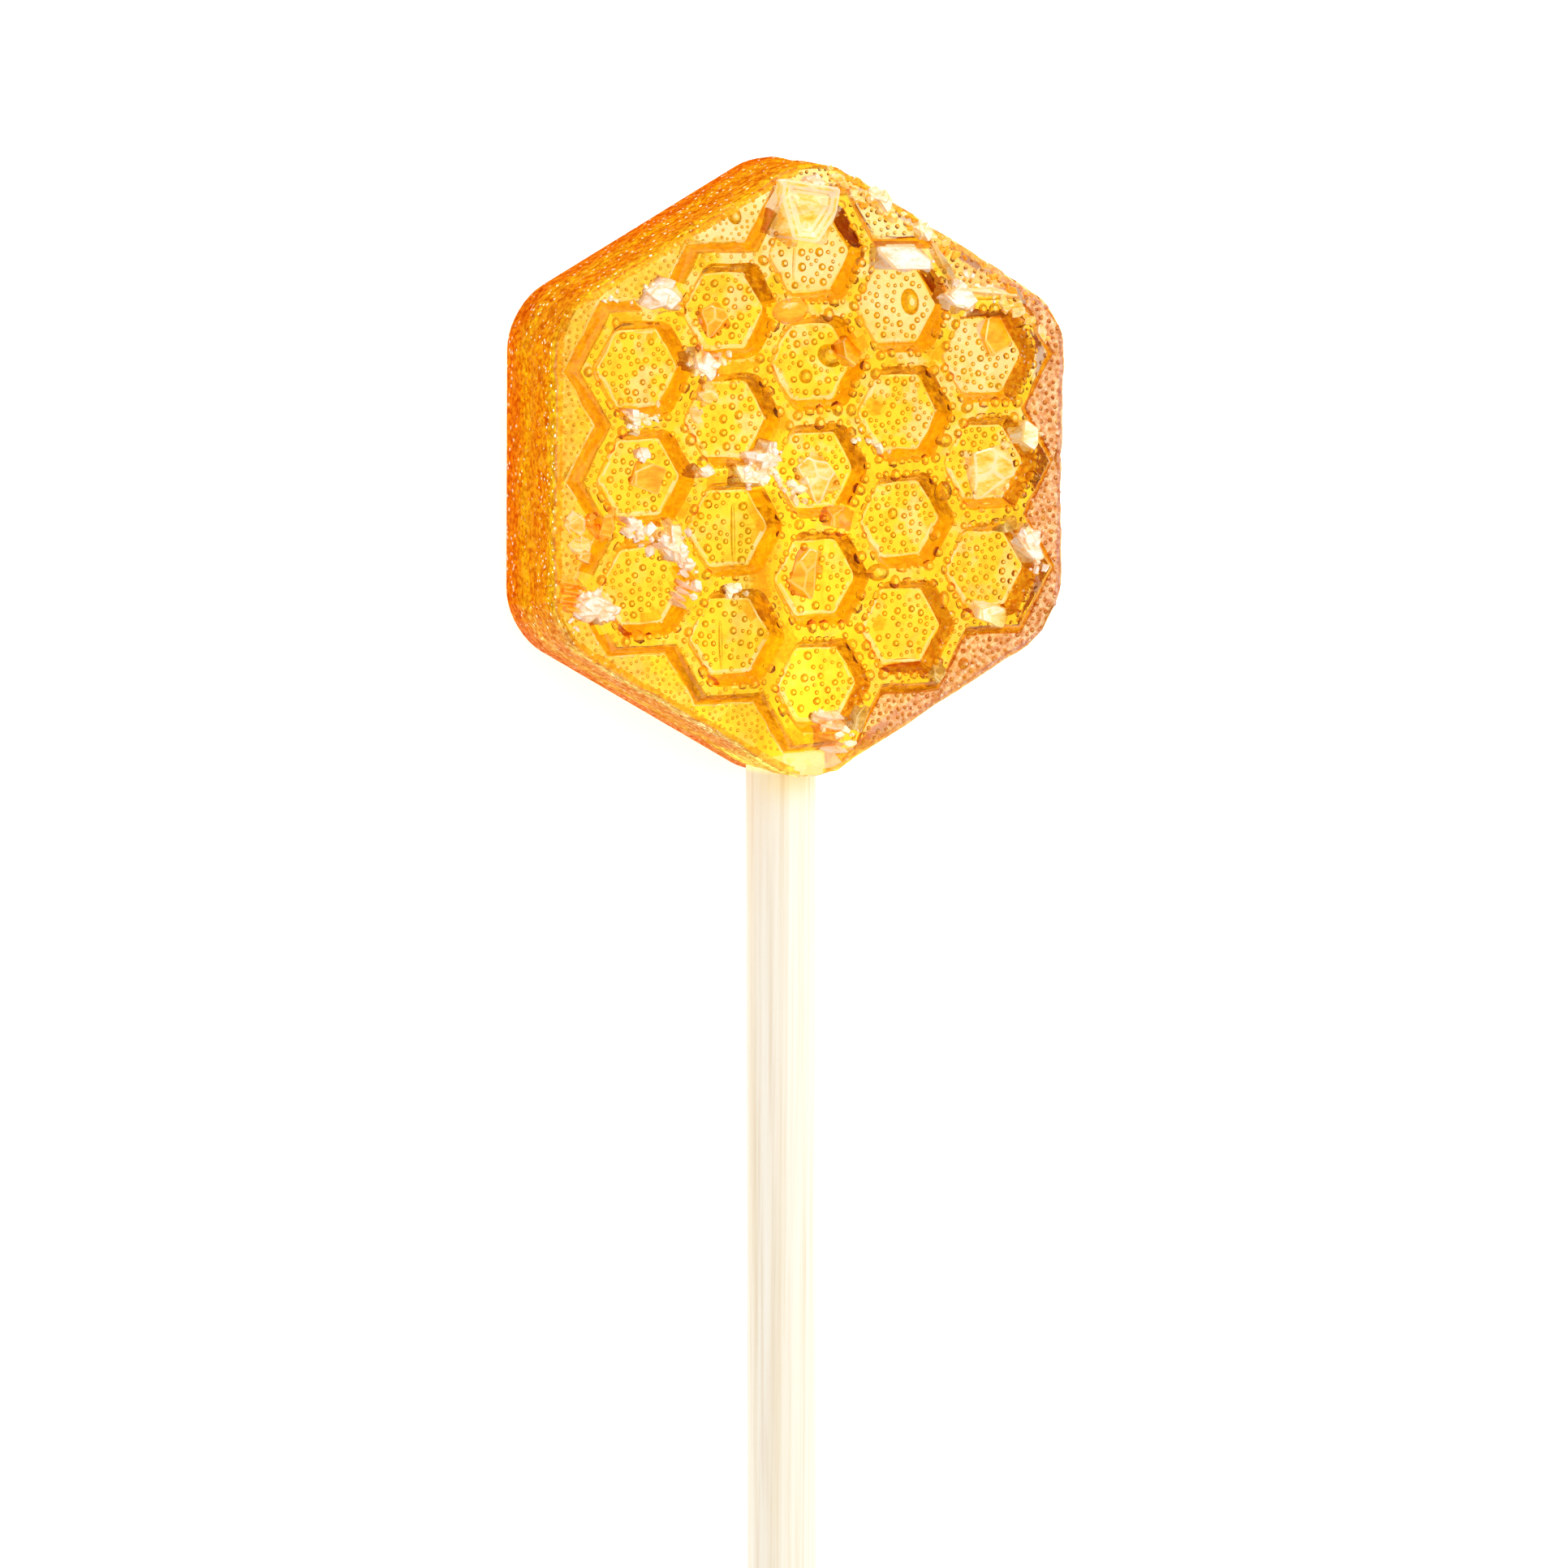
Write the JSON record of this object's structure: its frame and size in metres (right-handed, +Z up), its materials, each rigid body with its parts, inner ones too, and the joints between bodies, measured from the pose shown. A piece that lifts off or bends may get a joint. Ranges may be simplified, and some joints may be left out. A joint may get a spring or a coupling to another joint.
{
  "type": "honey lollipop",
  "caption": "Hexagonal honey lollipop of clear golden hard candy with a raised honeycomb face, set on a round wooden stick; it lies on its flat back with the face up.",
  "frame": {"origin": "middle of the candy's flat back, which is the face that it rests on", "axes": "+Z up out of the honeycomb face, +Y towards the candy's top corner, and the stick runs out along -Y"},
  "size_m": [0.041, 0.1744, 0.0113],
  "materials": {
    "honey_candy": "clear golden hard candy, glossy, full of fine bubbles",
    "pale_wood": "sanded, unvarnished birch with fine straight grain"
  },
  "bodies": {
    "root": {"candy_head": "honey_candy", "stick": "pale_wood"}
  },
  "joints": []
}
